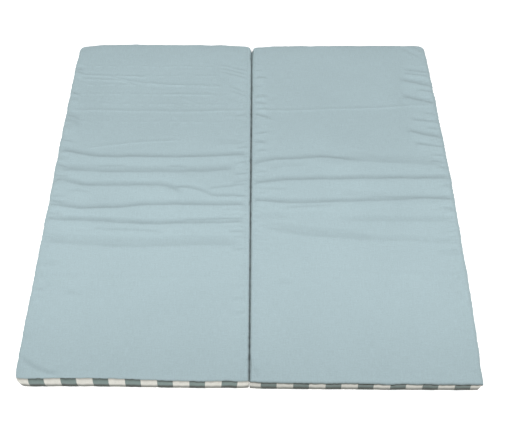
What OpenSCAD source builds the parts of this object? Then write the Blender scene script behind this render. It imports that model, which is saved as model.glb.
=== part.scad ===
// Folding changing pad of two foam panels, lying open on the floor.
// Each panel is a foam core in a boxed cotton cover, with a zip along its back edge.
// A folded hinge strip joins the inner top seams, so the right panel lifts over onto the left one.
// Millimetres. Origin: middle of the open pad at floor level. +X right, +Y back, +Z up.

/* [Pad] */
// Width of one panel, from the fold to its outer edge
panel_w = 354; // [200:1:500]
// Depth of the pad, from the front edge to the back edge
pad_d = 710; // [400:1:1000]
// Thickness of the pad
pad_t = 36; // [32:1:80]
// Radius of each panel's corners, seen from above
corner_r = 10; // [9:1:30]
// Gap between the two panels when the pad lies open
fold_gap = 2; // [1.6:0.1:6]

/* [Cover] */
// Thickness of the cover fabric
fabric_t = 1; // [0.5:0.1:1.2]
// Free space between the foam core and the sides of its cover
foam_play = 0.3; // [0.1:0.1:2]

/* [Hinge strip] */
// Thickness of the folded strip
strip_t = 0.6; // [0.3:0.05:0.7]
// Depth that the strip hangs into the gap, below the top seam
strip_drop = 7; // [4:0.5:14]

/* [Zip] */
// Half the height of the slot that the zip is set in
slot_half = 6; // [5.5:0.1:8]
// Length of the fabric tab at each end of the slot
end_tab = 8; // [4:0.5:30]
// Depth of the tapes behind the back face
tape_depth = 6.6; // [6.6:0.1:10]
// Thickness of a tape
tape_t = 0.6; // [0.4:0.05:0.7]
// Half the width of both tapes together
tape_half = 12; // [9:0.5:13]
// Width of one half of the coil
coil_w = 2.4; // [1.8:0.1:2.4]
// Height of the coil above its tape
coil_h = 2; // [1.4:0.1:2]
// Length of a stop
stop_l = 3; // [2:0.5:5]
// Tape left bare between the bottom stop and the end of the slot
bare_tape = 17; // [15:0.5:40]

/* [Slider] */
// Length of the slider along the zip
slider_l = 12; // [10:0.5:14]
// Half the slider's width at its wide end
slider_half = 4.6; // [4.4:0.1:5]
// Width of the wedge that parts the two coils
wedge_w = 1.2; // [0.8:0.1:1.4]
// Free space around the coils and tapes inside the slider
slider_play = 0.3; // [0.2:0.05:0.4]
// Length of the pull tab, from its pivot to its tip
pull_l = 25; // [16:0.5:26]
// Width of the pull tab
pull_w = 7; // [6:0.1:8]

/* [Hidden] */
$fn = 48;

half_w = panel_w / 2;
half_d = pad_d / 2;
boxing_h = pad_t - 2 * fabric_t;
zip_z = pad_t / 2;

// Along the zip, from the fold (negative) to the outer edge (positive)
slot_end = half_w - corner_r - end_tab;
coil_start = -slot_end + bare_tape + stop_l;
coil_end = slot_end - 3 - stop_l;
slider_x = coil_end - slider_l / 2 - 0.5;

// Depths behind the back face
coil_depth = tape_depth - coil_h;
wing_t = 1;
upper_wing = coil_depth - slider_play - wing_t;
lower_wing = tape_depth + tape_t + slider_play;
lower_wing_t = 0.8;
foam_depth = lower_wing + lower_wing_t + foam_play;

// The coils stand this far from the middle of the zip, which leaves room for the slider's wedge
coil_in = wedge_w / 2 + slider_play;
coil_out = coil_in + coil_w;

pivot_r = 0.6;
pivot_depth = upper_wing - 0.2 - pivot_r;
bridge_t = 0.8;
bridge_w = 3;
bridge_l = 7;
pull_arm = 1.2;

cover_color = [0.68, 0.76, 0.77];
stripe_color = [0.70, 0.74, 0.71];
foam_color = [0.93, 0.90, 0.78];
tape_color = [0.86, 0.86, 0.82];
metal_color = [0.75, 0.76, 0.77];

// ---- Shapes that repeat ----

module rounded_rect(w, d, r) {
    square([w - 2 * r, d], center = true);
    square([w, d - 2 * r], center = true);
    for (x = [-1, 1], y = [-1, 1])
        translate([x * (w / 2 - r), y * (d / 2 - r)]) circle(r);
}

// The upright wall of a cover, seen from above
module wall_outline() {
    difference() {
        rounded_rect(panel_w, pad_d, corner_r);
        rounded_rect(panel_w - 2 * fabric_t, pad_d - 2 * fabric_t, corner_r - fabric_t);
    }
}

// A stretch of wall between two heights; the child square picks the stretch
module wall(low, high) {
    translate([0, 0, low]) linear_extrude(high - low) intersection() {
        wall_outline();
        children();
    }
}

module side_stretch(x) {
    translate([x * half_w, 0]) square([2 * corner_r, pad_d - 2 * corner_r], center = true);
}

module end_stretch(y) {
    translate([0, y * half_d]) square([panel_w, 2 * corner_r], center = true);
}

// A block set by its span along the zip, its depths behind the back face and its heights from the zip's middle
module zip_block(along, depths, heights) {
    translate([along[0], half_d - depths[1], zip_z + heights[0]])
        cube([along[1] - along[0], depths[1] - depths[0], heights[1] - heights[0]]);
}

// An outline in the plane of the back face, between two depths behind it
module zip_plate(depths) {
    translate([0, half_d - depths[0], zip_z]) rotate([90, 0, 0])
        linear_extrude(depths[1] - depths[0]) children();
}

// Puts a panel in its place: the right one as drawn, the left one mirrored
module left_panel() { mirror([1, 0, 0]) right_panel() children(); }
module right_panel() { translate([fold_gap / 2 + half_w, 0, 0]) children(); }

// ---- Pieces of one panel, centred on the panel, outer edge towards +X ----

module foam_core() {
    inset = fabric_t + foam_play;
    foam_d = pad_d - inset - foam_depth;
    color(foam_color) translate([0, (inset - foam_depth) / 2, fabric_t])
        linear_extrude(boxing_h) rounded_rect(panel_w - 2 * inset, foam_d, corner_r - inset);
}

module top_cover() {
    color(cover_color) translate([0, 0, pad_t - fabric_t])
        linear_extrude(fabric_t) rounded_rect(panel_w, pad_d, corner_r);
}

module base_cover() {
    color(stripe_color) linear_extrude(fabric_t) rounded_rect(panel_w, pad_d, corner_r);
}

module front_boxing() {
    color(stripe_color) wall(fabric_t, pad_t - fabric_t) end_stretch(-1);
}

module outer_boxing() {
    color(stripe_color) wall(fabric_t, pad_t - fabric_t) side_stretch(1);
}

module inner_boxing() {
    color(stripe_color) wall(fabric_t, pad_t - fabric_t) side_stretch(-1);
}

// The back wall above the slot, with its lower edge turned in to meet the upper tape
module back_boxing_upper() {
    color(stripe_color) {
        wall(zip_z + slot_half, pad_t - fabric_t) end_stretch(1);
        zip_block([-slot_end, slot_end], [0, tape_depth], [slot_half, slot_half + fabric_t]);
    }
}

// The back wall below the slot, with its upper edge turned in to meet the lower tape
module back_boxing_lower() {
    color(stripe_color) {
        wall(fabric_t, zip_z - slot_half) end_stretch(1);
        zip_block([-slot_end, slot_end], [0, tape_depth], [-slot_half - fabric_t, -slot_half]);
    }
}

// Short walls that close both ends of the slot, each turned in to meet the tapes
module zip_end_tabs() {
    color(stripe_color) for (side = [-1, 1]) {
        wall(zip_z - slot_half, zip_z + slot_half) intersection() {
            end_stretch(1);
            translate([side * half_w, half_d]) square([2 * (corner_r + end_tab), 4 * corner_r], center = true);
        }
        inner = side > 0 ? slot_end : -slot_end - fabric_t;
        zip_block([inner, inner + fabric_t], [0, tape_depth], [-slot_half, slot_half]);
    }
}

// One tape; up is 1 for the upper one and -1 for the lower one
module zip_tape(up) {
    color(tape_color) zip_block(
        [-slot_end - fabric_t, slot_end + fabric_t],
        [tape_depth, tape_depth + tape_t],
        up > 0 ? [coil_in, tape_half] : [-tape_half, -coil_in]
    );
}

module zip_tape_upper() { zip_tape(1); }
module zip_tape_lower() { zip_tape(-1); }

// One half of the coil: a bar with a rounded outer face, on the edge of its tape
module zip_coil(up) {
    middle = up * (coil_in + coil_out) / 2;
    color(tape_color) {
        zip_block([coil_start, coil_end], [coil_depth + coil_w / 2, tape_depth],
            [middle - coil_w / 2, middle + coil_w / 2]);
        intersection() {
            translate([coil_start, half_d - coil_depth - coil_w / 2, zip_z + middle])
                rotate([0, 90, 0]) cylinder(h = coil_end - coil_start, d = coil_w);
            zip_block([coil_start, coil_end], [coil_depth, tape_depth],
                [middle - coil_w / 2, middle + coil_w / 2]);
        }
    }
}

module zip_coil_upper() { zip_coil(1); }
module zip_coil_lower() { zip_coil(-1); }

// Two crimped stops, one past the end of each coil, where the closed zip ends
module zip_top_stops() {
    color(metal_color) for (low = [-coil_out, coil_in])
        zip_block([coil_end, coil_end + stop_l], [coil_depth, tape_depth], [low, low + coil_w]);
}

// One wide stop across both tapes, where the open zip ends
module zip_bottom_stop() {
    color(metal_color)
        zip_block([coil_start - stop_l, coil_start], [coil_depth, tape_depth], [-coil_out, coil_out]);
}

// Slider: two wings joined by a wedge between the coils, with flanges that hold the coils in
module zip_slider() {
    narrow = coil_out + slider_play + 0.8;
    color(metal_color) difference() {
        union() {
            for (depths = [[upper_wing, upper_wing + wing_t], [lower_wing, lower_wing + lower_wing_t]])
                zip_plate(depths) slider_outline(narrow);
            zip_plate([upper_wing, tape_depth - slider_play]) difference() {
                slider_outline(narrow);
                translate([slider_x, 0]) square([2 * slider_l, 2 * (coil_out + slider_play)], center = true);
            }
            zip_block([slider_x + slider_l / 2 - 4, slider_x + slider_l / 2 - 1],
                [upper_wing, lower_wing + lower_wing_t], [-wedge_w / 2, wedge_w / 2]);
            zip_block([slider_x - bridge_l / 2, slider_x + bridge_l / 2],
                [pivot_depth - pivot_r - 0.2 - bridge_t, upper_wing], [-bridge_w / 2, bridge_w / 2]);
        }
        // the eye of the bridge, which the pull's cross bar turns in
        zip_block([slider_x - bridge_l / 2 + 1.5, slider_x + bridge_l / 2 - 1.5],
            [pivot_depth - pivot_r - 0.2, upper_wing], [-bridge_w, bridge_w]);
    }
}

// The slider's outline, wider where the two coils part
module slider_outline(narrow) {
    polygon([
        [slider_x - slider_l / 2, -narrow + 0.6], [slider_x - slider_l / 2 + 0.8, -narrow],
        [slider_x + slider_l / 2 - 2, -slider_half], [slider_x + slider_l / 2, -slider_half + 1],
        [slider_x + slider_l / 2, slider_half - 1], [slider_x + slider_l / 2 - 2, slider_half],
        [slider_x - slider_l / 2 + 0.8, narrow], [slider_x - slider_l / 2, narrow - 0.6]
    ]);
}

// Pull tab: a cross bar through the slider's bridge, two arms and a tab with a round end and a hole
module zip_pull() {
    arm_in = bridge_w / 2 + 0.3;
    tab_start = slider_x - bridge_l / 2 - 1;
    tip = slider_x - pull_l;
    span = [pivot_depth - pivot_r, pivot_depth + pivot_r];
    color(metal_color) {
        translate([slider_x, half_d - pivot_depth, zip_z - arm_in])
            cylinder(h = 2 * arm_in, r = pivot_r);
        for (low = [-arm_in - pull_arm, arm_in]) {
            zip_block([tab_start, slider_x], span, [low, low + pull_arm]);
            translate([slider_x, half_d - pivot_depth, zip_z + low]) cylinder(h = pull_arm, r = pivot_r);
        }
        zip_plate(span) difference() {
            union() {
                translate([tip + pull_w / 2, -pull_w / 2])
                    square([tab_start - tip - pull_w / 2, pull_w]);
                translate([tip + pull_w / 2, 0]) circle(d = pull_w);
            }
            translate([tip + pull_w / 2, 0]) circle(d = pull_w / 2);
        }
    }
}

// ---- The piece that joins the panels ----

// Strip of cover fabric sewn into both inner top seams, hanging into the gap as a narrow fold
module hinge_strip() {
    outer_r = fold_gap / 2;
    leg = strip_drop - outer_r;
    color(cover_color) translate([0, half_d - corner_r, pad_t - fabric_t - leg]) rotate([90, 0, 0])
        linear_extrude(pad_d - 2 * corner_r) {
            for (x = [-outer_r, outer_r - strip_t]) translate([x, 0]) square([strip_t, leg]);
            difference() {
                circle(outer_r);
                circle(outer_r - strip_t);
                translate([-fold_gap, 0]) square([2 * fold_gap, fold_gap]);
            }
        }
}

left_panel() foam_core();  // left_foam_core
left_panel() top_cover();  // left_top_cover
left_panel() base_cover();  // left_base_cover
left_panel() front_boxing();  // left_front_boxing
left_panel() outer_boxing();  // left_outer_boxing
left_panel() inner_boxing();  // left_inner_boxing
left_panel() back_boxing_upper();  // left_back_boxing_upper
left_panel() back_boxing_lower();  // left_back_boxing_lower
left_panel() zip_end_tabs();  // left_zip_end_tabs
left_panel() zip_tape_upper();  // left_zip_tape_upper
left_panel() zip_tape_lower();  // left_zip_tape_lower
left_panel() zip_coil_upper();  // left_zip_coil_upper
left_panel() zip_coil_lower();  // left_zip_coil_lower
left_panel() zip_top_stops();  // left_zip_top_stops
left_panel() zip_bottom_stop();  // left_zip_bottom_stop
left_panel() zip_slider();  // left_zip_slider
left_panel() zip_pull();  // left_zip_pull
right_panel() foam_core();  // right_foam_core
right_panel() top_cover();  // right_top_cover
right_panel() base_cover();  // right_base_cover
right_panel() front_boxing();  // right_front_boxing
right_panel() outer_boxing();  // right_outer_boxing
right_panel() inner_boxing();  // right_inner_boxing
right_panel() back_boxing_upper();  // right_back_boxing_upper
right_panel() back_boxing_lower();  // right_back_boxing_lower
right_panel() zip_end_tabs();  // right_zip_end_tabs
right_panel() zip_tape_upper();  // right_zip_tape_upper
right_panel() zip_tape_lower();  // right_zip_tape_lower
right_panel() zip_coil_upper();  // right_zip_coil_upper
right_panel() zip_coil_lower();  // right_zip_coil_lower
right_panel() zip_top_stops();  // right_zip_top_stops
right_panel() zip_bottom_stop();  // right_zip_bottom_stop
right_panel() zip_slider();  // right_zip_slider
right_panel() zip_pull();  // right_zip_pull
hinge_strip();
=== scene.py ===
"""A folding changing pad: cotton covers, fold, zips, studio and camera, built round the CAD frame."""
import math

import bmesh
import bpy
import numpy as np
from mathutils import Matrix, Vector
from mathutils.bvhtree import BVHTree


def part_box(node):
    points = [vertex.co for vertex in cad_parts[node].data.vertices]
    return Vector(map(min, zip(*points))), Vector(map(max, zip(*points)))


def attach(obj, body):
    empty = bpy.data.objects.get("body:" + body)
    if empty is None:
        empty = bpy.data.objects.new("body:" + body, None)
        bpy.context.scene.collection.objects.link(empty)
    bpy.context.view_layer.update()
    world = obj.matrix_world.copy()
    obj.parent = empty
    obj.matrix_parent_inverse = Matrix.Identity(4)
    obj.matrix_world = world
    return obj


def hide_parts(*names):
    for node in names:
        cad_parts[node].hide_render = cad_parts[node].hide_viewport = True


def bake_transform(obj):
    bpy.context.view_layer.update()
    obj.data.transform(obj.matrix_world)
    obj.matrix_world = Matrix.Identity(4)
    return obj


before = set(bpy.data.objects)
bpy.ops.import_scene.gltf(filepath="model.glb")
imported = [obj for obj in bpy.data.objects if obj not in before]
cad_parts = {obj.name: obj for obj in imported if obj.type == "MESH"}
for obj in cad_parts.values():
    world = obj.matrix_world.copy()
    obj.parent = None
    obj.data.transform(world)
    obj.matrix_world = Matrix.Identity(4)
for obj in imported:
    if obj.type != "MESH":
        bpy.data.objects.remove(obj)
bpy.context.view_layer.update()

MM = 0.001


def box_mm(node):
    """A CAD node's lowest and highest corner, in millimetres."""
    low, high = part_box(node)
    return np.array(low) / MM, np.array(high) / MM


# ---- Sizes in millimetres, from the CAD frame ----

SIDES = {"left": -1, "right": 1}
cover_low, cover_high = box_mm("right_top_cover")
upper_low, _ = box_mm("right_back_boxing_upper")
_, lower_high = box_mm("right_back_boxing_lower")
strip_low, strip_high = box_mm("hinge_strip")
tape_low, tape_high = box_mm("right_zip_tape_upper")
_, foam_high = box_mm("right_foam_core")

THICKNESS = cover_high[2]
HALF_W = (cover_high[0] - cover_low[0]) / 2
HALF_D = cover_high[1]
CENTRE_X = (cover_high[0] + cover_low[0]) / 2
OUTER_X = cover_high[0]
CORNER_R = HALF_D - strip_high[1]
SLOT_BOTTOM = lower_high[2]
SLOT_TOP = upper_low[2]
SLOT_END = (tape_high[0] - tape_low[0]) / 2 - (cover_high[2] - cover_low[2])
TAPE_Y = tape_high[1]

# ---- Sizes of the cushioned cover, in millimetres ----

SEAM_Z = THICKNESS - 4.0
BASE_SEAM_Z = 1.0
TOP_Z = THICKNESS - 3.6
CLOTH_T = 0.7
# the most that the simulation swells the cover, and the most beside the gap, which is this wide each way
PUFF = 0.6
GAP_PUFF = 0.3
GAP_ZONE = 6
# a fold rises freely to the first height, then by at most the second; a valley sinks by at most the third
FREE_LIFT = 2.0
MORE_LIFT = 0.95
SINK = 2.6
# distances between the cover's points: along and across the panel, in from its edges, and where the folds are
GRID = 6.0
GRID_ACROSS = 7.0
NEAR_EDGE = (0, 1.2, 2.6, 4.2, 6.2, 9.0)
FOLD_GRID = 3.0
FOLD_ZONE = (-130, 300)
ROW_HEIGHTS = (SEAM_Z, 31.0, 28.8, 26.4, SLOT_TOP, 21.0, 18.0, 15.0, SLOT_BOTTOM,
               9.0, 6.2, 3.8, 2.0, BASE_SEAM_Z)
# how far in from the edge the top rolls over to its seam, and the base to its own
TOP_ROLL = 4
BASE_ROLL = 3
# the stripes: their repeat, the width of a grey-green one and the middle of the first
STRIPE_PERIOD = 49.15
TEAL_WIDTH = 24.0
FIRST_TEAL = 29.6
# how much the front band's stripes lean, and how much more they do at its outer end
STRIPE_LEAN = {"left": (0.07, 0.0), "right": (0.0, 0.22)}


def smooth(t):
    t = np.clip(t, 0, 1)
    return t * t * (3 - 2 * t)


def ripples(u, v, wave_u, wave_v, seed, count=16):
    """A smooth random field of about -1 to 1, with waves about that long in u and in v."""
    draw = np.random.default_rng(seed)
    total = np.zeros_like(u)
    for _ in range(count):
        turn = draw.uniform(0, 2 * math.pi)
        rate = draw.uniform(0.6, 1.4)
        phase = draw.uniform(0, 2 * math.pi)
        along = math.cos(turn) * u / wave_u + math.sin(turn) * v / wave_v
        total += np.sin(2 * math.pi * rate * along + phase)
    return total / math.sqrt(count)


# ---- Camera, light and floor ----

def make_camera():
    data = bpy.data.cameras.new("camera")
    data.lens = 46
    data.sensor_width = 36
    camera = bpy.data.objects.new("camera", data)
    yaw, pitch, roll = (math.radians(a) for a in (0.45, 58.8, 0.69))
    ahead = Vector((math.sin(yaw) * math.cos(pitch), math.cos(yaw) * math.cos(pitch), -math.sin(pitch)))
    level = Vector((math.cos(yaw), -math.sin(yaw), 0))
    upward = level.cross(ahead)
    right = math.cos(roll) * level + math.sin(roll) * upward
    up = right.cross(ahead)
    camera.matrix_world = Matrix((right, up, -ahead)).transposed().to_4x4()
    camera.location = (0.005, -0.6645, 1.0037)
    bpy.context.scene.collection.objects.link(camera)
    bpy.context.scene.camera = camera


def make_light(name, location, target, size, spread, power):
    data = bpy.data.lights.new(name, "AREA")
    data.shape = "RECTANGLE"
    data.size, data.size_y = size
    data.spread = math.radians(spread)
    data.energy = power
    lamp = bpy.data.objects.new(name, data)
    lamp.location = location
    lamp.rotation_euler = (Vector(target) - Vector(location)).to_track_quat("-Z", "Y").to_euler()
    bpy.context.scene.collection.objects.link(lamp)


def make_world(strength):
    world = bpy.data.worlds.new("studio")
    world.use_nodes = True
    background = world.node_tree.nodes["Background"]
    background.inputs["Color"].default_value = (1, 1, 1, 1)
    background.inputs["Strength"].default_value = strength
    bpy.context.scene.world = world


def make_floor():
    half = 6
    depth = -0.0003
    mesh = bpy.data.meshes.new("floor")
    corners = [(-half, -half, depth), (half, -half, depth), (half, half, depth), (-half, half, depth)]
    mesh.from_pydata(corners, [], [(0, 1, 2, 3)])
    floor = bpy.data.objects.new("floor", mesh)
    bpy.context.scene.collection.objects.link(floor)
    material = bpy.data.materials.new("floor")
    material.use_nodes = True
    shader = material.node_tree.nodes["Principled BSDF"]
    shader.inputs["Base Color"].default_value = (0.8, 0.8, 0.8, 1)
    shader.inputs["Roughness"].default_value = 0.9
    shader.inputs["Emission Color"].default_value = (1, 1, 1, 1)
    shader.inputs["Emission Strength"].default_value = 0.5
    mesh.materials.append(material)


bpy.context.scene.view_settings.view_transform = "Standard"
make_camera()
make_world(0.33)
make_light("key", (-0.1, -1.7, 2.7), (0, 0.25, 0), (3.2, 0.6), 56, 11.0)
make_light("top", (0.0, -0.20, 2.0), (0, -0.18, 0), (1.5, 0.1), 22, 0.52)
make_light("back", (0.0, 0.30, 2.0), (0, 0.28, 0), (1.5, 0.1), 23, 0.345)
make_floor()


# ---- Materials ----

class Graph:
    """A material's nodes, made one call at a time."""

    def __init__(self, name):
        self.material = bpy.data.materials.new(name)
        self.material.use_nodes = True
        self.nodes = self.material.node_tree.nodes
        self.links = self.material.node_tree.links
        self.shader = self.nodes["Principled BSDF"]

    def put(self, socket, value):
        if hasattr(value, "is_output"):
            self.links.new(value, socket)
        else:
            socket.default_value = value

    def node(self, kind, inputs=None, **settings):
        made = self.nodes.new(kind)
        for name, value in settings.items():
            setattr(made, name, value)
        for name, value in (inputs or {}).items():
            self.put(made.inputs[name], value)
        return made

    def math(self, operation, a, b=0.0, c=0.0):
        return self.node("ShaderNodeMath", {0: a, 1: b, 2: c}, operation=operation).outputs[0]

    def vector(self, operation, inputs):
        return self.node("ShaderNodeVectorMath", inputs, operation=operation).outputs[0]

    def remap(self, value, low, high, to_low, to_high):
        inputs = {"Value": value, "From Min": low, "From Max": high, "To Min": to_low, "To Max": to_high}
        return self.node("ShaderNodeMapRange", inputs).outputs[0]

    def mix(self, factor, a, b):
        made = self.node("ShaderNodeMix", data_type="RGBA")
        colours = [socket for socket in made.inputs if socket.type == "RGBA"]
        self.put(made.inputs[0], factor)
        self.put(colours[0], a)
        self.put(colours[1], b)
        return next(socket for socket in made.outputs if socket.type == "RGBA")

    def noise(self, vector, scales, detail=2.0, roughness=0.5):
        """Noise with its own scale along each coordinate, per metre."""
        stretched = self.vector("MULTIPLY", {0: vector, 1: scales})
        inputs = {"Vector": stretched, "Scale": 1.0, "Detail": detail, "Roughness": roughness}
        return self.node("ShaderNodeTexNoise", inputs).outputs["Fac"]

    def bump(self, height, depth_mm, strength=1.0, normal=None):
        inputs = {"Height": height, "Strength": strength, "Distance": depth_mm * MM}
        made = self.node("ShaderNodeBump", inputs)
        if normal:
            self.put(made.inputs["Normal"], normal)
        return made.outputs[0]

    def finish(self, colour, roughness, normal):
        self.put(self.shader.inputs["Base Color"], colour)
        self.put(self.shader.inputs["Roughness"], roughness)
        self.put(self.shader.inputs["Normal"], normal)
        return self.material


def rgb(*screen):
    """Linear colour from the 0 to 255 values of a screen colour."""
    linear = [((v / 255 + 0.055) / 1.055) ** 2.4 for v in screen]
    return (*linear, 1)


THREAD = 0.62 * MM
DUSTY_BLUE = rgb(170, 190, 195)
CREAM = rgb(224, 223, 214)
TEAL = rgb(124, 142, 138)
# the dark warm colour that painted shade pulls the cloth towards
SHADE_TINT = rgb(48, 53, 43)


def weave(g, cloth):
    """Height of a plain weave of uneven threads, and how thick they are; cloth is in metres."""
    split = g.node("ShaderNodeSeparateXYZ", {0: cloth})
    slubs = [g.noise(cloth, (1500, 60, 1)), g.noise(cloth, (60, 1500, 1))]
    waves = []
    for axis, other in ((0, 1), (1, 0)):
        turns, others = (g.math("MULTIPLY", split.outputs[k], math.pi / THREAD) for k in (axis, other))
        ridge = g.math("ABSOLUTE", g.math("SINE", turns))
        over = g.math("SINE", others)
        waves.append(g.math("MULTIPLY", ridge, g.math("MULTIPLY_ADD", over, 0.3, 0.7)))
    height = g.math("ADD", g.math("MULTIPLY", waves[0], slubs[0]), g.math("MULTIPLY", waves[1], slubs[1]))
    return height, g.math("ADD", slubs[0], slubs[1])


def stripes(g, cloth, ground, stripe, painted_light):
    """Bands of colour across the first cloth coordinate, their edges wandering by a thread or two."""
    # the grey-green stripe is scaled by the painted light here and again below, so its painted shade is
    # deeper
    shaded_stripe = g.vector("SCALE", {0: stripe[:3], "Scale": painted_light})
    wander = g.math("MULTIPLY", g.math("SUBTRACT", g.noise(cloth, (60, 400, 1)), 0.5), 0.02)
    across = g.node("ShaderNodeSeparateXYZ", {0: cloth}).outputs[0]
    offset = 0.5 - FIRST_TEAL / STRIPE_PERIOD
    turns = g.math("ADD", g.math("MULTIPLY_ADD", across, 1 / (STRIPE_PERIOD * MM), offset), wander)
    share = g.math("ABSOLUTE", g.math("SUBTRACT", g.math("FRACT", turns), 0.5))
    edge = TEAL_WIDTH / STRIPE_PERIOD / 2
    return g.mix(g.remap(share, edge - 0.006, edge + 0.006, 0, 1), shaded_stripe, ground)


def cotton(name, ground, stripe=None):
    """Plain-woven cotton, crumpled a little by washing."""
    g = Graph(name)
    cloth = g.node("ShaderNodeAttribute", attribute_name="cloth").outputs["Vector"]
    height, slubs = weave(g, cloth)
    # the attribute read here holds painted light: painted shade at the seams, near the floor, over the front
    # bands and in the fold gap, and a painted highlight on the crease crests
    painted_light = g.node("ShaderNodeAttribute", attribute_name="painted_light").outputs["Fac"]
    colour = stripes(g, cloth, ground, stripe, painted_light) if stripe else ground[:3]
    fine = g.remap(slubs, 0.6, 1.4, 0.91, 1.08)
    mottle = g.remap(g.noise(cloth, (420, 420, 1), 3.0, 0.7), 0.25, 0.75, 0.92, 1.07)
    patch = g.remap(g.noise(cloth, (9, 7, 1), 3.0), 0.3, 0.7, 0.98, 1.015)
    # shade is the cloth's own tone from its grain, mottle and patches, times the painted light
    shade = g.math("MULTIPLY", g.math("MULTIPLY", fine, mottle), g.math("MULTIPLY", patch, painted_light))
    toned_and_shaded = g.vector("SCALE", {0: colour, "Scale": shade})
    # where the painted light is below one, painted shade mixes in the dark tint
    shade_tint = g.vector("SCALE", {0: SHADE_TINT[:3], "Scale": g.math("SUBTRACT", 1.0, painted_light)})
    tint = g.vector("ADD", {0: toned_and_shaded, 1: shade_tint})
    crumple = g.bump(g.noise(cloth, (50, 120, 1), 4.0, 0.55), 0.15)
    threads = g.bump(height, 0.12, 0.5, crumple)
    g.shader.inputs["Sheen Weight"].default_value = 0.1
    g.shader.inputs["Sheen Roughness"].default_value = 0.6
    g.shader.inputs["Specular IOR Level"].default_value = 0.2
    return g.finish(tint, g.remap(height, 0, 1, 0.95, 0.8), threads)


def foam_material():
    g = Graph("foam")
    place = g.node("ShaderNodeTexCoord").outputs["Object"]
    cells = g.node("ShaderNodeTexVoronoi", {"Vector": place, "Scale": 900.0}).outputs["Distance"]
    tone = g.mix(g.noise(place, (12, 12, 12), 3.0), rgb(240, 232, 205), rgb(228, 216, 180))
    return g.finish(tone, g.remap(cells, 0, 1, 0.98, 0.9), g.bump(cells, 0.4, 0.6))


def tape_material():
    g = Graph("zip_tape")
    place = g.node("ShaderNodeTexCoord").outputs["Object"]
    split = g.node("ShaderNodeSeparateXYZ", {0: place})
    diagonal = g.math("ADD", split.outputs[0], split.outputs[2])
    twill = g.math("SINE", g.math("MULTIPLY", diagonal, 7000.0))
    tone = g.mix(g.remap(twill, -1, 1, 0, 1), rgb(212, 210, 198), rgb(228, 226, 214))
    return g.finish(tone, g.remap(twill, -1, 1, 0.9, 0.8), g.bump(twill, 0.1, 0.5))


def hard_material(name, light, dark, metallic, smoothest, roughest):
    """Moulded nylon or cast metal, with a slight mottle and fine scuffs."""
    g = Graph(name)
    place = g.node("ShaderNodeTexCoord").outputs["Object"]
    scuffs = g.noise(place, (4000, 300, 4000))
    g.shader.inputs["Metallic"].default_value = metallic
    tone = g.mix(g.noise(place, (300, 300, 300), 3.0), light, dark)
    return g.finish(tone, g.remap(scuffs, 0, 1, smoothest, roughest), g.bump(scuffs, 0.05, 0.3))


MATERIALS = {
    "plain_cotton": cotton("plain_cotton", DUSTY_BLUE),
    "striped_cotton": cotton("striped_cotton", CREAM, TEAL),
    "foam": foam_material(),
    "zip_tape": tape_material(),
    "zip_coil": hard_material("zip_coil", rgb(226, 224, 214), rgb(208, 206, 196), 0.0, 0.35, 0.5),
    "zip_metal": hard_material("zip_metal", rgb(205, 206, 208), rgb(180, 182, 185), 1.0, 0.25, 0.45),
}


# ---- Mesh helpers ----

def mesh_object(name, points, faces):
    """A new object from points in millimetres."""
    mesh = bpy.data.meshes.new(name)
    mesh.from_pydata([tuple(p) for p in np.asarray(points) * MM], [], [tuple(f) for f in faces])
    made = bpy.data.objects.new(name, mesh)
    bpy.context.scene.collection.objects.link(made)
    return made


def points_mm(mesh):
    co = np.empty(len(mesh.vertices) * 3)
    mesh.vertices.foreach_get("co", co)
    return co.reshape(-1, 3) / MM


def move_points(mesh, points):
    mesh.vertices.foreach_set("co", (np.asarray(points) * MM).ravel())
    mesh.update()


def bake_modifiers(made):
    """Replaces the object's mesh by what its modifiers make of it."""
    bpy.context.view_layer.update()
    evaluated = made.evaluated_get(bpy.context.evaluated_depsgraph_get())
    mesh = bpy.data.meshes.new_from_object(evaluated)
    made.modifiers.clear()
    made.data = mesh


def set_attribute(mesh, name, kind, values):
    attribute = mesh.attributes.new(name, kind, "POINT")
    field = "value" if kind == "FLOAT" else "vector"
    attribute.data.foreach_set(field, np.asarray(values, np.float32).ravel())


def flat_points(mesh):
    """Takes out the mesh's record of where its points were before the folds were laid, in millimetres."""
    attribute = mesh.attributes["flat"]
    flat = np.empty(len(mesh.vertices) * 3)
    attribute.data.foreach_get("vector", flat)
    mesh.attributes.remove(attribute)
    return flat.reshape(-1, 3)


def become(made, slot, body, nodes):
    """Finishes a piece: its material, the body it rides on and the CAD nodes it stands for."""
    made.data.materials.clear()
    made.data.materials.append(MATERIALS[slot])
    made.data.shade_smooth()
    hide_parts(*nodes)
    if body:
        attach(made, body)


# ---- The closed form of one panel's cover ----

ZONES = ("top", "base", "front", "outer", "inner", "upper", "lower", "tabs", "slot")
# how far each edge stands in from the CAD outline: at the top seam, halfway down and at the base seam
INSETS = {"outer": (-1.3, -1.4, -0.4), "inner": (0.5, 0.6, 0.5),
          "front": (0.5, -0.8, -0.9), "back": (0.0, -1.5, 2.5)}
OUTWARD = {"outer": (1, 0), "inner": (-1, 0), "front": (0, -1), "back": (0, 1)}
# how far in from an edge its unevenness reaches
EDGE_REACH = 8.0


def grid_lines(half, spacing, extra, fine=None):
    """Lines from -half to half, closer near both ends and in the fine stretch, with the extra values."""
    near = half - np.array(NEAR_EDGE)
    count = round(2 * near[-1] / spacing)
    lines = np.concatenate([-near[:-1], np.linspace(-near[-1], near[-1], count + 1), near[:-1][::-1]])
    if fine:
        lines = lines[(lines < fine[0]) | (lines > fine[1])]
        lines = np.concatenate([lines, np.arange(fine[0], fine[1] + FOLD_GRID, FOLD_GRID)])
        lines.sort()
    for value in extra:
        lines[np.argmin(np.abs(lines - value))] = value
    return np.sort(lines)


# how far each corner is bent from square (0) to the CAD outline's quarter circle (1)
ROUNDNESS = {"left": {(1, 1): 1.0, (1, -1): 0.6, (-1, 1): 0.7, (-1, -1): 0.2},
             "right": {(1, 1): 0.9, (1, -1): 0.15, (-1, 1): 0.7, (-1, -1): 0.1}}


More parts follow.
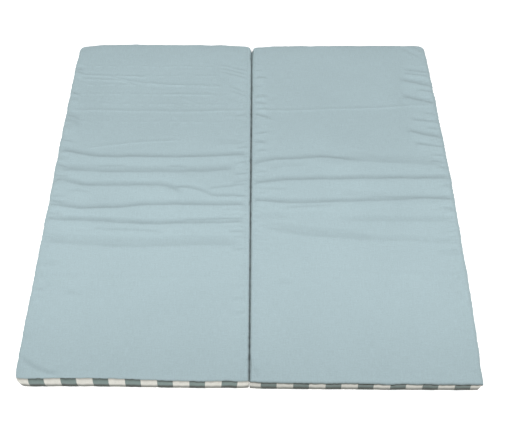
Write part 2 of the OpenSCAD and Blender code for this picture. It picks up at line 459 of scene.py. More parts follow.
def rounded(plan, side):
    """Bends the corners of a rectangular grid towards quarter circles."""
    corner = np.array([HALF_W - CORNER_R, HALF_D - CORNER_R])
    near = (np.abs(plan) - corner) / CORNER_R
    inside = (near > 0).all(axis=1)
    u, v = near[inside].T
    signs = np.sign(plan[inside])
    disc = np.stack([u * np.sqrt(1 - v * v / 2), v * np.sqrt(1 - u * u / 2)], 1)
    bent = signs * (corner + disc * CORNER_R)
    share = np.array([ROUNDNESS[side][tuple(pair)] for pair in signs.astype(int)])[:, None]
    result = plan.copy()
    result[inside] += share * (bent - plan[inside])
    return result


def distances(plan):
    """Distances from the panel's edges, in plan, with the panel centred and its outer edge towards +X."""
    return {"outer": HALF_W - plan[:, 0], "inner": HALF_W + plan[:, 0],
            "front": HALF_D + plan[:, 1], "back": HALF_D - plan[:, 1]}


def edge_distance(near):
    """The distance from the nearest edge."""
    return np.min(list(near.values()), axis=0)


def drawn_in(plan, z):
    """Plan points drawn in from the CAD outline, as the wall bulges between its two seams."""
    level = (z - (SEAM_Z + BASE_SEAM_Z) / 2) / ((SEAM_Z - BASE_SEAM_Z) / 2)
    moved = plan.copy()
    for edge, distance in distances(plan).items():
        top, middle, base = INSETS[edge]
        inset = middle + ((top if level > 0 else base) - middle) * min(abs(level), 1) ** 3
        weight = np.exp(-np.maximum(distance, 0) / EDGE_REACH)
        moved -= np.outer(weight * inset, OUTWARD[edge])
    return moved


def wall_zone(x, y, z):
    if abs(y) < HALF_D - CORNER_R:
        return "outer" if x > 0 else "inner"
    if y < 0:
        return "front"
    if z > SLOT_TOP:
        return "upper"
    if z < SLOT_BOTTOM:
        return "lower"
    return "slot" if abs(x) < SLOT_END else "tabs"


def rim_of(nx, ny):
    """The outer points of a grid, once round it."""
    around = ([(i, 0) for i in range(nx - 1)] + [(nx - 1, j) for j in range(ny - 1)]
              + [(i, ny - 1) for i in range(nx - 1, 0, -1)] + [(0, j) for j in range(ny - 1, 0, -1)])
    return np.array([j * nx + i for i, j in around])


def flat_faces(nx, ny, base):
    """Faces of the top and of the base, whose points start at the number base, and their zones."""
    faces, zones = [], []
    for j in range(ny - 1):
        for i in range(nx - 1):
            a = j * nx + i
            b = a + base
            faces.append((a, a + 1, a + nx + 1, a + nx))
            faces.append((b, b + nx, b + nx + 1, b + 1))
            zones += ["top", "base"]
    return faces, zones


def wall_faces(corners, rings):
    """Faces of the wall between the two seams, row by row, and their zones."""
    faces, zones = [], []
    for row, (upper, lower) in enumerate(zip(rings[:-1], rings[1:])):
        z = (ROW_HEIGHTS[row] + ROW_HEIGHTS[row + 1]) / 2
        for k, ahead in enumerate(np.roll(np.arange(len(corners)), -1)):
            faces.append((upper[k], lower[k], lower[ahead], upper[ahead]))
            x, y = (corners[k] + corners[ahead]) / 2
            zones.append(wall_zone(x, y, z))
    return faces, zones


def panel_form(side):
    """Points, faces and face zones of a closed cover, centred and with its outer edge towards +X."""
    xs = grid_lines(HALF_W, GRID_ACROSS, (-SLOT_END, SLOT_END))
    ys = grid_lines(HALF_D, GRID, (CORNER_R - HALF_D, HALF_D - CORNER_R), FOLD_ZONE)
    square = np.array([(x, y) for y in ys for x in xs])
    plan = rounded(square, side)
    rim = rim_of(len(xs), len(ys))
    distance = np.maximum(edge_distance(distances(plan)), 0)
    top_z = TOP_Z - (TOP_Z - SEAM_Z) * np.exp(-(distance / TOP_ROLL) ** 1.2)
    base_z = BASE_SEAM_Z * np.exp(-distance / BASE_ROLL)
    layers = [np.column_stack([drawn_in(plan, SEAM_Z), top_z])]
    rings = [rim]
    start = len(plan)
    for z in ROW_HEIGHTS[1:-1]:
        layers.append(np.column_stack([drawn_in(plan[rim], z), np.full(len(rim), z)]))
        rings.append(np.arange(len(rim)) + start)
        start += len(rim)
    layers.append(np.column_stack([drawn_in(plan, BASE_SEAM_Z), base_z]))
    rings.append(rim + start)
    faces, zones = flat_faces(len(xs), len(ys), start)
    more_faces, more_zones = wall_faces(square[rim], rings)
    return np.vstack(layers), faces + more_faces, [ZONES.index(zone) for zone in zones + more_zones]


CLOTH_FRAMES = 20


def cloth_on(cover, held):
    """Adds a cloth simulation that blows the cover up, held at the named points."""
    group = cover.vertex_groups.new(name="held")
    group.add([int(i) for i in np.flatnonzero(held)], 1.0, "REPLACE")
    cloth = cover.modifiers.new("cloth", "CLOTH")
    settings = cloth.settings
    settings.quality = 5
    settings.mass = 0.2
    settings.tension_stiffness = 20
    settings.compression_stiffness = 20
    settings.bending_stiffness = 0.3
    settings.use_pressure = True
    settings.uniform_pressure_force = 4
    settings.vertex_group_mass = "held"
    settings.effector_weights.gravity = 0
    cloth.collision_settings.use_collision = False
    cloth.point_cache.frame_end = CLOTH_FRAMES


def inflate(cover):
    """Blows the cover up a little with a cloth simulation, held at its seams, its slot and the floor."""
    before = points_mm(cover.data)
    x, y, z = before.T
    seam = np.abs(z - SEAM_Z) < 0.01
    slot = (y > HALF_D - 4) & (z > SLOT_BOTTOM - 0.1) & (z < SLOT_TOP + 0.1)
    floor = z < BASE_SEAM_Z + 0.01
    cloth_on(cover, seam | slot | floor)
    for step in range(1, CLOTH_FRAMES + 1):
        bpy.context.scene.frame_set(step)
    bake_modifiers(cover)
    move = points_mm(cover.data) - before
    bpy.context.scene.frame_set(1)
    size = np.linalg.norm(move, axis=1, keepdims=True)
    limit = np.where(np.abs(x) < GAP_ZONE, GAP_PUFF, PUFF)[:, None]
    move *= limit * np.tanh(size / limit) / np.maximum(size, 1e-9)
    move_points(cover.data, before + move)


# ---- Folds and edges, in the places they have on the lying pad ----

# kinds of fold: height, width of the steep back, width of the gentle front, length of the tapered ends
KINDS = {
    "sharp": (4.4, 14, 16, 14),
    "keen": (2.4, 9, 9, 12),
    "fading": (4.2, 15, 16, 60),
    "dull": (4.4, 18, 20, 34),
    "broad": (2.9, 22, 22, 26),
    "soft": (1.4, 13, 14, 26),
    "fine": (1.3, 6.5, 6, 12),
    "crease": (0.8, 8.0, 2.6, 16),
    "dash": (0.5, 6.0, 2.2, 12),
    "faint": (0.3, 7.0, 6, 24),
}
# the long folds of each panel: kind and crest
FOLDS = {
    "left": (
        ("sharp", (-360, 80), (-290, 65), (-140, 65), (-5, 70)),
        ("crease", (-310, 85), (-225, 100), (-135, 105)),
        ("soft", (-75, 100), (-5, 95)),
        ("dull", (-370, 35), (-270, 30), (-90, 30), (-20, 40)),
        ("fine", (-155, 45), (-115, 45)),
        ("fine", (-285, 45), (-225, 45)),
        ("sharp", (-360, 15), (-300, 0), (-155, 0), (-120, -15)),
        ("keen", (-140, 0), (-95, -5), (-70, -20), (-5, -20)),
        ("fine", (-80, -5), (-5, 5)),
        ("sharp", (-360, -40), (-290, -50), (-170, -40), (-5, -40)),
        ("fine", (-330, -10), (-285, -15)),
        ("sharp", (-360, -70), (-290, -75), (-160, -80), (-5, -75)),
        ("fine", (-120, -70), (-5, -65)),
        ("fine", (-275, -90), (-150, -95)),
        ("broad", (-360, -115), (-240, -125), (-5, -120)),
        ("soft", (-355, -160), (-310, -160)),
        ("faint", (-355, -180), (-30, -180)),
        ("soft", (-310, -210), (-270, -215)),
        ("crease", (-360, 180), (-155, 175), (-5, 180)),
        ("crease", (-350, 270), (-300, 270), (-220, 250), (-150, 245), (-55, 240)),
        ("crease", (-285, 270), (-205, 265)),
        ("crease", (-340, 260), (-250, 255), (-225, 235)),
        ("crease", (-210, 255), (-180, 245)),
        ("crease", (-180, 220), (-70, 220)),
        ("crease", (-145, 215), (-105, 195)),
        ("keen", (-355, -320), (-325, -340), (-290, -350)),
    ),
    "right": (
        ("fading", (-30, 40), (40, 60), (120, 65), (220, 55)),
        ("broad", (110, 65), (360, 50)),
        ("sharp", (0, 5), (70, 15), (365, 20)),
        ("sharp", (0, -30), (70, -35), (365, -25)),
        ("soft", (150, -15), (350, -25)),
        ("fine", (60, -45), (150, -40)),
        ("fine", (5, -5), (70, -5)),
        ("soft", (20, 40), (110, 50)),
        ("soft", (150, -70), (360, -70)),
        ("soft", (5, -65), (75, -65)),
        ("broad", (15, -85), (85, -100), (215, -110)),
        ("soft", (180, -105), (360, -115)),
        ("soft", (310, -135), (360, -135)),
        ("faint", (50, -165), (360, -175)),
        ("soft", (35, -190), (80, -195)),
        ("faint", (30, -290), (75, -340)),
        ("crease", (5, 180), (70, 180), (360, 195)),
        ("keen", (320, 360), (340, 350), (355, 330)),
        ("fine", (305, 350), (355, 315)),
    ),
}
# short folds that run in from an edge: edge, kind, reach, rise on the way in, and places along the edge
GATHERS = {
    "left": (
        ("outer", "sharp", 40, -20, (170, 155)),
        ("outer", "keen", 30, -10, (290, 280, 225, 210, 140, 65, 50)),
        ("outer", "keen", 25, 0, (5,)),
        ("outer", "fine", 40, -5, (105, 25, -20, -30, -55)),
        ("outer", "fine", 30, 0, (-205, -285)),
        ("inner", "fine", 60, 20, (280, 270, 260)),
        ("inner", "fine", 40, 20, (220, 210)),
        ("inner", "fine", 30, -5, (90, 55, 30, 15, -20)),
        ("inner", "fine", 30, 0, (165, -105, -130, -220, -245)),
        ("inner", "fine", 50, 0, (-50, -60, -85)),
        ("inner", "keen", 40, 0, (-95,)),
    ),
    "right": (
        ("outer", "sharp", 70, 20, (240, 195, 110)),
        ("outer", "keen", 60, 10, (280, 270, 150, 90)),
        ("outer", "keen", 40, 10, (225,)),
        ("outer", "keen", 25, 5, (40, 0, -50)),
        ("outer", "fine", 35, 5, (255, 170, 135, 70, 55)),
        ("inner", "keen", 30, 0, (265, 215, 195, 100)),
        ("inner", "keen", 40, -15, (170,)),
        ("inner", "fine", 20, 0, (285, 240, 200)),
        ("inner", "fine", 35, 5, (180, 120, 80, 30, 20, -15)),
        ("inner", "keen", 15, -20, (-335,)),
    ),
}
# how far from the pad's middle the gathers start
GATHER_STARTS = {"outer": 364, "inner": 3}
# rows of short creases across the back of the left panel
DASH_ROWS = (*range(295, 190, -25), 150)
DASH_ENDS = (-340, -30)


def crest(line, taper, seed):
    """A fold's crest, smoothed and wandering a little: samples of x, y and strength."""
    ends_x, ends_y = np.array(line, float).T
    x = np.arange(ends_x[0], ends_x[-1] + 1, 2.0)
    y = np.interp(x, ends_x, ends_y)
    window = np.hanning(19)
    y = np.convolve(np.pad(y, 9, "reflect", reflect_type="odd"), window / window.sum(), "valid")
    y += 0.5 * ripples(x, x, 120, 120, seed) + 0.35 * ripples(x, x, 20, 20, seed + 25)
    taper = min(taper, (x[-1] - x[0]) / 2.5)
    strength = smooth((x - x[0]) / taper) * smooth((x[-1] - x) / taper)
    strength *= 1 + 0.12 * ripples(x, x, 90, 90, seed + 50)
    return x, y, strength


def dash_strength(x, number):
    """How strong a row of short creases is at x: it comes and goes along its length."""
    breaks = smooth(ripples(x, x, 26, 26, 320 + number) * 2.0 + 0.3)
    return breaks * smooth((x - DASH_ENDS[0]) / 12) * smooth((DASH_ENDS[1] - x) / 40)


def gathers(side):
    """The gathers of a panel, each as a fold that runs in from the edge."""
    folds = []
    for edge, kind, reach, rise, places in GATHERS[side]:
        start = GATHER_STARTS[edge]
        end = start - reach if edge == "outer" else start + reach
        for y in places:
            folds.append((kind, *sorted([(SIDES[side] * start, y), (SIDES[side] * end, y + rise)])))
    return folds


def over_folds(x, y, side, section):
    """Sum over a panel's folds of section(kind, distance behind the crest), times the crest's strength."""
    total = np.zeros_like(x)
    for number, (kind, *line) in enumerate([*FOLDS[side], *gathers(side)]):
        line_x, line_y, strength = crest(line, KINDS[kind][3], 100 + number)
        slope = np.interp(x, line_x, np.gradient(line_y, line_x))
        away = (y - np.interp(x, line_x, line_y)) / np.sqrt(1 + slope ** 2)
        total += np.interp(x, line_x, strength, 0, 0) * section(kind, away)
    for number, row in enumerate(DASH_ROWS if side == "left" else ()):
        middle = row + 0.8 * ripples(x, x, 90, 90, 300 + number)
        total += dash_strength(x, number) * section("dash", y - middle)
    return total


def height_section(kind, away):
    """A fold's height: steep behind its crest, down into a shallow dip, and gentle in front."""
    height, behind, before, _ = KINDS[kind]
    back = np.maximum(away, 0) / behind
    steep = 1.25 * np.maximum(1 - back, 0) ** 1.7 - 0.5 * np.exp(-np.maximum(back - 1, 0))
    gentle = 0.75 * np.exp(-(np.maximum(-away, 0) / before) ** 1.4)
    return height * np.where(away > 0, steep, gentle)


def crease_highlight_section(kind, away):
    """How strong the painted highlight along a crease's crest is."""
    return (kind in ("crease", "dash")) * np.exp(-((away + 1) / 1.8) ** 2)


# how far the top's edges stand out from the CAD outline, at places along them
EDGE_LINES = {
    "left": {"outer": ((-355, 0.4), (-100, 0.5), (50, 1.2), (355, 0.5)),
             "front": ((-355, -2.2), (-250, -4.0), (-170, -2.0), (-100, 0.6), (0, 0.4)),
             "back": ((-355, 1), (-290, 3), (-100, 4), (0, 2))},
    "right": {"outer": ((-355, -0.8), (-200, 4.6), (20, 7.5), (130, 6), (250, 4.5), (355, 2)),
              "front": ((0, 1.2), (60, 3.5), (122, 3.4), (230, 4.8), (355, 4.6)),
              "back": ((0, 0), (60, 2), (355, 6))},
}
# the seam allowance along the inner edges: height of its ridge and depth of its groove,
# then how far in each lies and how wide it is
HEM_RIDGE = 0.55
HEM_LINES = ((3.4, 1.3), (6.2, 1.5))
# near the front end of the gap: how far each inner edge leans into it, and over what length
GAP_END = (1.2, 14.0)
# elsewhere an inner edge stands out by at most this, so that the panels stay clear of each other
MOST_OUT = 0.3
# height above which the wall takes part in the folds, and the share of a fold that it takes
WALL_FROM = 20
WALL_SHARE = 0.35
# how much of its unevenness the front edge keeps at the floor
FRONT_SHARE = 0.4
# first seed of each panel's ripples
SEEDS = {"left": 11, "right": 31}


def outward_on(edge, side):
    """The way out over a panel's edge, in the row frame."""
    return np.array(OUTWARD[edge]) * (np.array([-1, 1]) if side == "left" else 1)


def top_lift(x, y, near, up, high, side):
    """How far the cover is raised by folds, ripples, the seam allowance and the tucks at its edges."""
    seed = SEEDS[side]
    lift = over_folds(x, y, side, height_section) * (WALL_SHARE * up + (1 - WALL_SHARE) * high)
    lift += 0.30 * ripples(x, y, 130, 90, seed) * high
    lift += 0.05 * ripples(x, y, 60, 13, seed + 1) * high
    ridge, groove = (np.exp(-((near["inner"] - place) / width) ** 2) for place, width in HEM_LINES)
    lift += high * HEM_RIDGE * (ridge - groove)
    for edge, distance in near.items():
        along = x if edge in ("front", "back") else y
        tucks = ripples(along + 0.5 * distance, along, 10, 10, seed + 3 + len(edge))
        lift += 0.5 * tucks * np.exp(-np.maximum(distance - 2, 0) / 12) * high
    return lift


def edge_wave(edge, along, z, gap_end, side):
    """How far an edge stands in, at places along it."""
    seed = SEEDS[side] + len(edge)
    wave = 0.5 * ripples(along, along, 55, 55, seed + 20)
    wave += 0.25 * ripples(along, along, 14, 14, seed + 40)
    if edge not in EDGE_LINES[side]:
        return np.maximum(wave, -MOST_OUT) * (1 - gap_end) - GAP_END[0] * gap_end
    between_seams = smooth(z / 4) * smooth((SEAM_Z - z) / 4)
    wave -= np.interp(along, *zip(*EDGE_LINES[side][edge]))
    return wave + 0.45 * ripples(along, z, 15, 40, seed + 60) * between_seams


def cover_shape(points, side):
    """Lays folds, puckers and uneven edges on one panel's cover; points are in the row frame."""
    x, y, z = points.T
    near = distances(np.column_stack([np.abs(x) - CENTRE_X, y]))
    up = smooth((z - WALL_FROM) / (SEAM_Z - WALL_FROM))
    high = (z > SEAM_Z - 0.3) * smooth((edge_distance(near) - 0.5) / 7)
    lift = top_lift(x, y, near, up, high, side)
    sunk = SINK * np.tanh(np.minimum(lift, 0) / SINK)
    raised = np.clip(lift, 0, FREE_LIFT) + MORE_LIFT * np.tanh(np.maximum(lift - FREE_LIFT, 0) / MORE_LIFT)
    low = (z < 0.6) * smooth((edge_distance(near) - 3) / 12)
    result = points.copy()
    result[:, 2] += sunk + raised
    result[:, 2] += low * 0.5 * np.abs(ripples(x, y, 120, 30, SEEDS[side] + 9))
    gap_end = np.exp(-(near["front"] / GAP_END[1]) ** 2)
    shares = {"front": FRONT_SHARE + (1 - FRONT_SHARE) * up, "inner": np.maximum(up, gap_end)}
    for edge, distance in near.items():
        wave = edge_wave(edge, x if edge in ("front", "back") else y, z, gap_end, side)
        weight = np.exp(-np.maximum(distance, 0) / EDGE_REACH) * shares.get(edge, up)
        result[:, :2] -= np.outer(weight * wave, outward_on(edge, side))
    return droop(result, near, up, side)


# how far each corner of the top sinks and is drawn in
CORNERS = {"left": {("outer", "back"): (3.0, 2.0), ("outer", "front"): (2.0, 0.5),
                    ("inner", "back"): (2.0, 1.0), ("inner", "front"): (1.0, 0.0)},
           "right": {("outer", "back"): (1.0, 0.5), ("outer", "front"): (1.0, 0.0),
                     ("inner", "back"): (2.5, 1.0), ("inner", "front"): (1.5, 0.3)}}
# how far from a corner its sinking reaches
CORNER_REACH = 32


def droop(points, near, up, side):
    """Lets the corners of the top sink and draw in, where the foam fills them less."""
    result = points.copy()
    for edges, (drop, pull) in CORNERS[side].items():
        reach = np.maximum(near[edges[0]] + near[edges[1]], 0)
        weight = np.exp(-(reach / CORNER_REACH) ** 1.3) * up
        result[:, 2] -= drop * weight
        for edge in edges:
            result[:, :2] -= np.outer(pull * weight, outward_on(edge, side))
    return result


def build_cover(side):
    """One panel's whole cover as a single skin, its faces marked by zone."""
    points, faces, zones = panel_form(side)
    points[:, 0] = (points[:, 0] + CENTRE_X) * SIDES[side]
    if side == "left":
        faces = [face[::-1] for face in faces]
    cover = mesh_object(f"{side}_cover_form", points, faces)
    for zone in ZONES:
        cover.data.materials.append(bpy.data.materials.new(zone))
    cover.data.polygons.foreach_set("material_index", zones)
    inflate(cover)
    finer = cover.modifiers.new("finer", "SUBSURF")
    finer.levels = 1
    bake_modifiers(cover)
    points = points_mm(cover.data)
    set_attribute(cover.data, "flat", "FLOAT_VECTOR", points)
    move_points(cover.data, cover_shape(points, side))
    return cover


# how far in the slot's edge is turned before it runs on to the tapes
SLOT_TURN = 1.2


def sink_slot(cover):
    """Opens the zip's slot and turns its edges in to the tapes."""
    mesh = bmesh.new()
    mesh.from_mesh(cover.data)
    slot = ZONES.index("slot")
    inside = [face for face in mesh.faces if face.material_index == slot]
    bmesh.ops.delete(mesh, geom=inside, context="FACES")
    rim = [edge for edge in mesh.edges if edge.is_boundary]
    for depth in (SLOT_TURN, None):
        made = bmesh.ops.extrude_edge_only(mesh, edges=rim)["geom"]
        verts = [v for v in made if isinstance(v, bmesh.types.BMVert)]
        for vert in verts:
            vert.co.y = vert.co.y - depth * MM if depth else TAPE_Y * MM
        rim = [edge for edge in made if isinstance(edge, bmesh.types.BMEdge) and edge.is_boundary]
    mesh.to_mesh(cover.data)
    mesh.free()


def cloth_coordinates(points, zone, panel):
    """Cloth coordinates in metres: across the stripes, then along them."""
    x, y, z = points.T
    side = np.abs(x)
    if zone in ("top", "base"):
        return np.column_stack([side, y, z * 0]) * MM
    back = OUTER_X + 2 * HALF_D
    start = {"front": 0, "outer": OUTER_X, "upper": back, "lower": back, "tabs": back,
             "inner": back + OUTER_X}
    if zone == "front":
        lean, more_outside = STRIPE_LEAN[panel]
        across = side - (lean + more_outside * side / OUTER_X) * (SEAM_Z - z)
    elif zone == "outer":
        across = y + HALF_D
    elif zone == "inner":
        across = HALF_D - y
    else:
        across = OUTER_X - side
    return np.column_stack([start[zone] + across, z, z * 0]) * MM


# painted shade along the top seam, under the top's rolled edge: how much on each panel and edge, and how wide
# on the top and the walls
SEAM_SHADE = {"left": 0.55, "right": 0.85}
EDGE_SHADE = {"front": 1.0, "inner": 0.8, "outer": 0.15, "back": 0.1}
SEAM_SHADE_WIDTH = {"top": 1.8, "wall": 4.0}
# painted shadow on the walls near the floor: how much on each wall, and the height below which it starts and
# the height it grows over
FLOOR_SHADE = {"front": 0.75, "inner": 0.35, "outer": 0.25, "upper": 0.25, "lower": 0.25, "tabs": 0.25}
FLOOR_SHADE_TOP = 19
FLOOR_SHADE_RISE = 11
# how light each front band is left by its painted shade, and how much lighter the painted highlight on a
# crease's crest makes it
FRONT_BAND_SHADE = {"left": 0.97, "right": 0.78}
CREASE_HIGHLIGHT = 0.055


def painted_light_at(points, zone, side):
    """How light the cloth is painted: a painted highlight on its creases, painted shade at the top seam, over
    the front bands and near the floor.
    """
    x, y, z = points.T
    if zone == "base":
        return np.ones(len(points))
    near = distances(np.column_stack([np.abs(x) - CENTRE_X, y]))
    if zone == "top":
        # painted shade along the top's edges where they roll down to the seam
        seam_shades = [EDGE_SHADE[edge] * np.exp(-(np.maximum(away, 0) / SEAM_SHADE_WIDTH["top"]) ** 2)
                 for edge, away in near.items()]
        # a painted highlight along the crests of the creases and dashes
        highlight = 1 + CREASE_HIGHLIGHT * np.minimum(over_folds(x, y, side, crease_highlight_section), 1.2)
        return highlight * (1 - 0.8 * SEAM_SHADE[side] * np.max(seam_shades, axis=0))
    # painted shade down the wall from the top seam, under the top's overhang
    strength = EDGE_SHADE.get(zone, EDGE_SHADE["back"]) * SEAM_SHADE[side]
    seam = strength * np.exp(-(np.maximum(SEAM_Z - z, 0) / SEAM_SHADE_WIDTH["wall"]) ** 2)
    # painted shade over the whole front band
    band_shade = FRONT_BAND_SHADE[side] if zone == "front" else 1
    # painted contact shadow on the wall near the floor
    floor = FLOOR_SHADE[zone] * smooth((FLOOR_SHADE_TOP - z) / FLOOR_SHADE_RISE)
    return band_shade * (1 - seam) * (1 - floor)


def cut_piece(cover, side, zone, part, slot):
    """One sewn part of the cover, with the cloth's thickness towards the inside."""
    mesh = bmesh.new()
    mesh.from_mesh(cover.data)
    index = ZONES.index(zone)
    others = [face for face in mesh.faces if face.material_index != index]
    bmesh.ops.delete(mesh, geom=others, context="FACES")
    for face in mesh.faces:
        face.material_index = 0
    piece = mesh_object(f"{side}_{part}_cloth", [], [])
    mesh.to_mesh(piece.data)
    mesh.free()
    points = flat_points(piece.data)
    set_attribute(piece.data, "cloth", "FLOAT_VECTOR", cloth_coordinates(points, zone, side))
    set_attribute(piece.data, "painted_light", "FLOAT", painted_light_at(points, zone, side))
    thick = piece.modifiers.new("thick", "SOLIDIFY")
    thick.thickness = CLOTH_T * MM
    thick.offset = -1
    bake_modifiers(piece)
    become(piece, slot, f"{side}_panel", [f"{side}_{part}"])


PARTS = (("top", "top_cover", "plain_cotton"), ("base", "base_cover", "striped_cotton"),
         ("front", "front_boxing", "striped_cotton"), ("outer", "outer_boxing", "striped_cotton"),
         ("inner", "inner_boxing", "striped_cotton"), ("upper", "back_boxing_upper", "striped_cotton"),
         ("lower", "back_boxing_lower", "striped_cotton"), ("tabs", "zip_end_tabs", "striped_cotton"))


# ---- Foam, zips, stitching and the strip at the fold ----

# the gap between the foam and the cover's sides, and the heights of the slab's base and top
FOAM_PLAY = 3.0
FOAM_BASE = 1.5
FOAM_TOP = 28.6


def build_foam(side):
    """The foam slab: the cover's own form, a little smaller, cut back behind the zip."""
    points, faces, _ = panel_form(side)
    near = distances(points[:, :2])
    points[:, 0] *= 1 - FOAM_PLAY / HALF_W
    points[:, 1] *= 1 - FOAM_PLAY / HALF_D
    points[:, 1] = np.minimum(points[:, 1], foam_high[1] - 1)
    points[:, 2] = FOAM_BASE + points[:, 2] * (FOAM_TOP - FOAM_BASE) / TOP_Z
    points[:, 0] = (points[:, 0] + CENTRE_X) * SIDES[side]
    points = droop(points, near, smooth(points[:, 2] / FOAM_TOP), side)
    if side == "left":
        faces = [face[::-1] for face in faces]
    foam = mesh_object(f"{side}_foam_slab", points, faces)
    become(foam, "foam", f"{side}_panel", [f"{side}_foam_core"])


TOOTH_PITCH = 1.5
# a tooth's swellings: place along its length, and width; the widest, its head, fills the CAD coil
TOOTH = ((-0.5, 0.55), (-0.3, 0.62), (0.1, 0.5), (0.28, 0.62), (0.4, 0.72), (0.5, 0.4))
TOOTH_HEAD = 0.72


def tube(rings, sides):
    """Points and faces of a closed tube through rings, each a centre, a radius and two axes across it."""
    points, faces = [], []
    for centre, radius, across, up in rings:
        for k in range(sides):
            angle = 2 * math.pi * k / sides
            points.append(centre + radius * (math.cos(angle) * across + math.sin(angle) * up))
    for r in range(len(rings) - 1):
        for k in range(sides):
            a, b = r * sides + k, r * sides + (k + 1) % sides
            faces.append((a, b, b + sides, a + sides))
    faces.append(tuple(range(sides))[::-1])
    faces.append(tuple(range((len(rings) - 1) * sides, len(rings) * sides)))
    return np.array(points), faces


def repeated(points, faces, places):
    """The same small mesh at many places."""
    all_points = np.vstack([points + place for place in places])
    all_faces = [tuple(i + k * len(points) for i in face) for k in range(len(places)) for face in faces]
    return all_points, all_faces


def build_coil(side, half):
    """One half of the zip's nylon coil: a row of teeth, each with a swollen head towards the zip's middle."""
    low, high = box_mm(f"{side}_zip_coil_{half}")
    inward = 1 if half == "lower" else -1
    across, up = np.array((1.0, 0, 0)), np.array((0, 1.0, 0))
    length, radius = high[2] - low[2], (high[1] - low[1]) / 2
    rings = [(np.array((0, 0, inward * at * length)), width, across, up * radius / TOOTH_HEAD)
             for at, width in TOOTH]
    points, faces = tube(rings, 8)
    if inward < 0:
        faces = [face[::-1] for face in faces]
    first = low[0] + (0.5 if half == "lower" else 1.0) * TOOTH_PITCH
    middle = (low + high) / 2
    places = [(x, middle[1], middle[2]) for x in np.arange(first, high[0] - 0.5 * TOOTH_PITCH, TOOTH_PITCH)]
    coil = mesh_object(f"{side}_zip_teeth_{half}", *repeated(points, faces, places))
    become(coil, "zip_coil", f"{side}_panel", [f"{side}_zip_coil_{half}"])


# a stitch's length, the distance between stitches, and how far their row stands from the slot
STITCH = 2.2
STITCH_STEP = 3.0
STITCH_GAP = 2.8
# a stitch's shape: place along its length, thickness, and rise above the cloth
STITCH_SHAPE = ((-0.5, 0.10, -0.25), (-0.3, 0.24, 0.0), (0.3, 0.24, 0.0), (0.5, 0.10, -0.25))


def stitch_line(start, end):
    """Places of the stitches from one corner of the row to the next, in x and z, and the way they run."""
    run = np.array(end, float) - start
    length = math.hypot(*run)
    way = run / length
    return [start + way * at for at in np.arange(STITCH_STEP / 2, length, STITCH_STEP)], way


def build_topstitch(side, cover):
    """The row of stitches round the zip's slot, laid on the cloth."""
    skin = BVHTree.FromObject(cover, bpy.context.evaluated_depsgraph_get())
    half_w, top, bottom = SLOT_END + STITCH_GAP, SLOT_TOP + STITCH_GAP, SLOT_BOTTOM - STITCH_GAP
    corners = [(-half_w, top), (half_w, top), (half_w, bottom), (-half_w, bottom), (-half_w, top)]
    out = np.array((0, 1.0, 0))
    points, faces = [], []
    for start, end in zip(corners[:-1], corners[1:]):
        places, way = stitch_line(start, end)
        along = np.array((way[0], 0, way[1]))
        across = np.cross(along, out)
        direction = along * (SIDES[side], 1, 1)
        for at, z in places:
            x = (at + CENTRE_X) * SIDES[side]
            nearest = skin.find_nearest(Vector((x, HALF_D, z)) * MM)[0]
            middle = np.array((x, nearest.y / MM, z))
            rings = [(middle + direction * t * STITCH + out * rise, width, across, out)
                     for t, width, rise in STITCH_SHAPE]
            more_points, more_faces = tube(rings, 6)
            faces += [tuple(i + len(points) for i in face) for face in more_faces]
            points += list(more_points)
    stitches = mesh_object(f"{side}_zip_topstitch", points, faces)
    mesh = bmesh.new()
    mesh.from_mesh(stitches.data)
    bmesh.ops.recalc_face_normals(mesh, faces=mesh.faces)
    mesh.to_mesh(stitches.data)
    mesh.free()
    become(stitches, "zip_tape", f"{side}_panel", [])


# half of the strip's section, from the seam down to its fold: distance from the pad's middle, and height
STRIP_SECTION = ((2.0, 31.9), (1.5, 31.2), (1.2, 30.0), (0.95, 28.8), (0.7, 27.6), (0.4, 26.6), (0.0, 26.1))
# how far the strip runs on past the CAD one at the front, and stops short of it at the back
STRIP_ENDS = (9, 2)
STRIP_ROWS = 140
STRIP_SAG = 0.35
# the strip's thickness, as a share of the CAD one's
STRIP_SHARE = 0.3


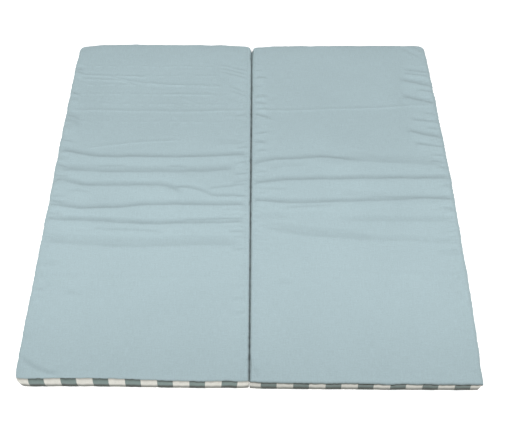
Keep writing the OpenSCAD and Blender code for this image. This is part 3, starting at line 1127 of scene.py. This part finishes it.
def build_strip():
    """The strip that joins the two inner top seams and hangs in the gap."""
    section = [(-x, z) for x, z in STRIP_SECTION] + [(x, z) for x, z in STRIP_SECTION[-2::-1]]
    half = STRIP_SECTION[0][0]
    ys = np.linspace(strip_low[1] - STRIP_ENDS[0], strip_high[1] - STRIP_ENDS[1], STRIP_ROWS)
    sag = STRIP_SAG * ripples(ys, ys, 60, 60, 71)
    points = [(x, y, z + wave * (1 - abs(x) / half)) for y, wave in zip(ys, sag) for x, z in section]
    n = len(section)
    faces = [(j * n + i, j * n + i + 1, (j + 1) * n + i + 1, (j + 1) * n + i)
             for j in range(len(ys) - 1) for i in range(n - 1)]
    strip = mesh_object("fold_strip", points, faces)
    place = points_mm(strip.data)
    set_attribute(strip.data, "cloth", "FLOAT_VECTOR", place * MM)
    # painted shade in the gap: darkest along the strip's fold, lighter towards its seams, with darker patches
    shade_spots = np.maximum(ripples(place[:, 1], place[:, 1], 12, 12, 72), 0)
    edges = smooth(np.abs(place[:, 0]) / half)
    set_attribute(strip.data, "painted_light", "FLOAT", (0.4 + 0.45 * edges) * (1 - 0.3 * shade_spots))
    thick = strip.modifiers.new("thick", "SOLIDIFY")
    thick.thickness = (strip_high[0] - strip_low[0]) * STRIP_SHARE * MM
    thick.offset = 0
    bake_modifiers(strip)
    become(strip, "plain_cotton", None, ["hinge_strip"])
    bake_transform(strip)


def dress_nodes(side):
    """Better materials, and softened edges on metal, for the zip parts whose CAD shape is right."""
    kept = {"zip_tape_upper": "zip_tape", "zip_tape_lower": "zip_tape", "zip_top_stops": "zip_metal",
            "zip_bottom_stop": "zip_metal", "zip_slider": "zip_metal", "zip_pull": "zip_metal"}
    for part, slot in kept.items():
        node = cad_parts[f"{side}_{part}"]
        node.data.materials.clear()
        node.data.materials.append(MATERIALS[slot])
        if slot == "zip_metal":
            soften = node.modifiers.new("soften", "BEVEL")
            soften.width = 0.2 * MM
            soften.segments = 2
            soften.limit_method = "ANGLE"
            soften.angle_limit = math.radians(40)


for side in SIDES:
    cover = build_cover(side)
    sink_slot(cover)
    for zone, part, slot in PARTS:
        cut_piece(cover, side, zone, part, slot)
    build_topstitch(side, cover)
    bpy.data.objects.remove(cover)
    build_foam(side)
    for half in ("upper", "lower"):
        build_coil(side, half)
    dress_nodes(side)
build_strip()

bpy.context.view_layer.update()
